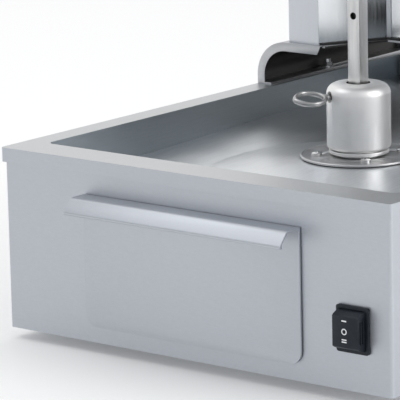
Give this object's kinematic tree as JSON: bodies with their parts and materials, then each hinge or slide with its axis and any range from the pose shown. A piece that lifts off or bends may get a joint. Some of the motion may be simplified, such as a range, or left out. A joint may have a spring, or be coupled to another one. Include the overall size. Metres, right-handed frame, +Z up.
{
  "type": "vertical rotisserie broiler",
  "caption": "Countertop vertical broiler: drip-tray cabinet with grease drawer, motor-driven hub and square spindle, sliding heater tower.",
  "frame": {"origin": "middle of the bounding box's footprint, on the surface the feet stand on", "axes": "+X to the right seen from the front, +Y from the drawer side to the tower side, +Z up along the spindle"},
  "size_m": [0.3321, 0.5084, 0.8105],
  "materials": {
    "steel_sheet": "brushed stainless sheet",
    "polished_steel": "bright stainless steel",
    "black_rubber": "matt black rubber",
    "black_plastic": "satin black plastic",
    "dark_plastic": "moulded dark plastic",
    "ivory_plastic": "moulded ivory plastic",
    "white_ink": "printed white marks",
    "bronze": "sintered bronze",
    "grey_casting": "die-cast housing",
    "dark_paint": "painted motor can",
    "fibre_board": "mineral fibre board",
    "element_steel": "heat-darkened sheath",
    "ceramic_white": "glazed ceramic insulator",
    "amber_lens": "moulded amber lens"
  },
  "bodies": {
    "base": {"base_shell": "steel_sheet", "bottom_pan": "steel_sheet", "rubber_feet": "black_rubber", "drip_tray": "polished_steel", "flange_gasket": "black_rubber", "drain_spout": "polished_steel", "drawer_runners": "steel_sheet", "switch_body": "black_plastic", "hub_flange": "polished_steel", "flange_screws": "polished_steel", "bearing_bush": "bronze", "gearbox": "grey_casting", "motor": "dark_paint", "motor_plate": "steel_sheet", "motor_posts": "polished_steel", "terminal_block": "ivory_plastic", "cable_gland": "black_plastic", "ledge_studs": "polished_steel", "side_screws": "polished_steel"},
    "drawer": {"drawer_front": "steel_sheet", "drawer_box": "steel_sheet"},
    "rocker": {"switch_rocker": "black_plastic", "switch_marks": "white_ink"},
    "turntable": {"drive_shaft": "polished_steel", "neck_washer": "polished_steel", "drive_hub": "polished_steel"},
    "clamp_screw": {"eye_screw": "polished_steel"},
    "spit": {"spindle": "polished_steel", "plate_pin": "polished_steel", "lower_plate": "polished_steel", "lower_tines": "polished_steel"},
    "top_plate": {"upper_plate": "polished_steel", "upper_tines": "polished_steel"},
    "plate_screw": {"thumb_screw": "polished_steel"},
    "tower": {"gantry": "steel_sheet", "tower_gasket": "black_rubber", "tower_floor": "steel_sheet", "left_column": "steel_sheet", "right_column": "steel_sheet", "back_reflector": "polished_steel", "insulation": "fibre_board", "rear_cover": "steel_sheet", "top_cap": "steel_sheet", "tower_handle": "black_plastic", "heating_elements": "element_steel", "element_holders": "ceramic_white", "element_guard": "polished_steel", "guard_posts": "polished_steel", "regulators": "dark_plastic", "indicator_lamps": "amber_lens", "tower_inlet": "black_plastic", "tower_bolts": "polished_steel", "cover_screws": "polished_steel"},
    "nut_left": {"clamp_nut_left": "polished_steel"},
    "nut_right": {"clamp_nut_right": "polished_steel"},
    "low_knob": {"knob_low": "black_plastic"},
    "high_knob": {"knob_high": "black_plastic"}
  },
  "joints": [
    {"name": "drawer_slide", "type": "slide", "parent": "base", "child": "drawer", "axis": [0, -1, 0], "range_m": [0, 0.12]},
    {"name": "rocker_tilt", "type": "hinge", "parent": "base", "child": "rocker", "pos_m": [0.1342, -0.2357, 0.0495], "axis": [1, 0, 0], "range_deg": [-11, 11]},
    {"name": "hub_spin", "type": "hinge", "parent": "base", "child": "turntable", "pos_m": [0, -0.047, 0.122], "axis": [0, 0, 1], "continuous": true},
    {"name": "clamp_screw_turn", "type": "hinge", "parent": "turntable", "child": "clamp_screw", "pos_m": [0, -0.047, 0.1587], "axis": [-0.4695, -0.8829, 0], "continuous": true},
    {"name": "spit_lift", "type": "slide", "parent": "turntable", "child": "spit", "axis": [0, 0, 1], "range_m": [0, 0.045]},
    {"name": "top_plate_slide", "type": "slide", "parent": "spit", "child": "top_plate", "axis": [0, 0, 1], "range_m": [-0.2, 0.1]},
    {"name": "plate_screw_turn", "type": "hinge", "parent": "top_plate", "child": "plate_screw", "pos_m": [0, -0.067, 0.6102], "axis": [0, -1, 0], "continuous": true},
    {"name": "tower_slide", "type": "slide", "parent": "base", "child": "tower", "axis": [0, -1, 0], "range_m": [0, 0.04]},
    {"name": "left_nut_turn", "type": "hinge", "parent": "base", "child": "nut_left", "pos_m": [-0.1588, 0.126, 0.14], "axis": [0, 0, 1], "continuous": true},
    {"name": "right_nut_turn", "type": "hinge", "parent": "base", "child": "nut_right", "pos_m": [0.1573, 0.126, 0.14], "axis": [0, 0, 1], "continuous": true},
    {"name": "low_knob_turn", "type": "hinge", "parent": "tower", "child": "low_knob", "pos_m": [0.1395, 0.128, 0.2996], "axis": [1, 0, 0], "range_deg": [0, 270]},
    {"name": "high_knob_turn", "type": "hinge", "parent": "tower", "child": "high_knob", "pos_m": [0.1395, 0.128, 0.3696], "axis": [1, 0, 0], "range_deg": [0, 270]}
  ]
}
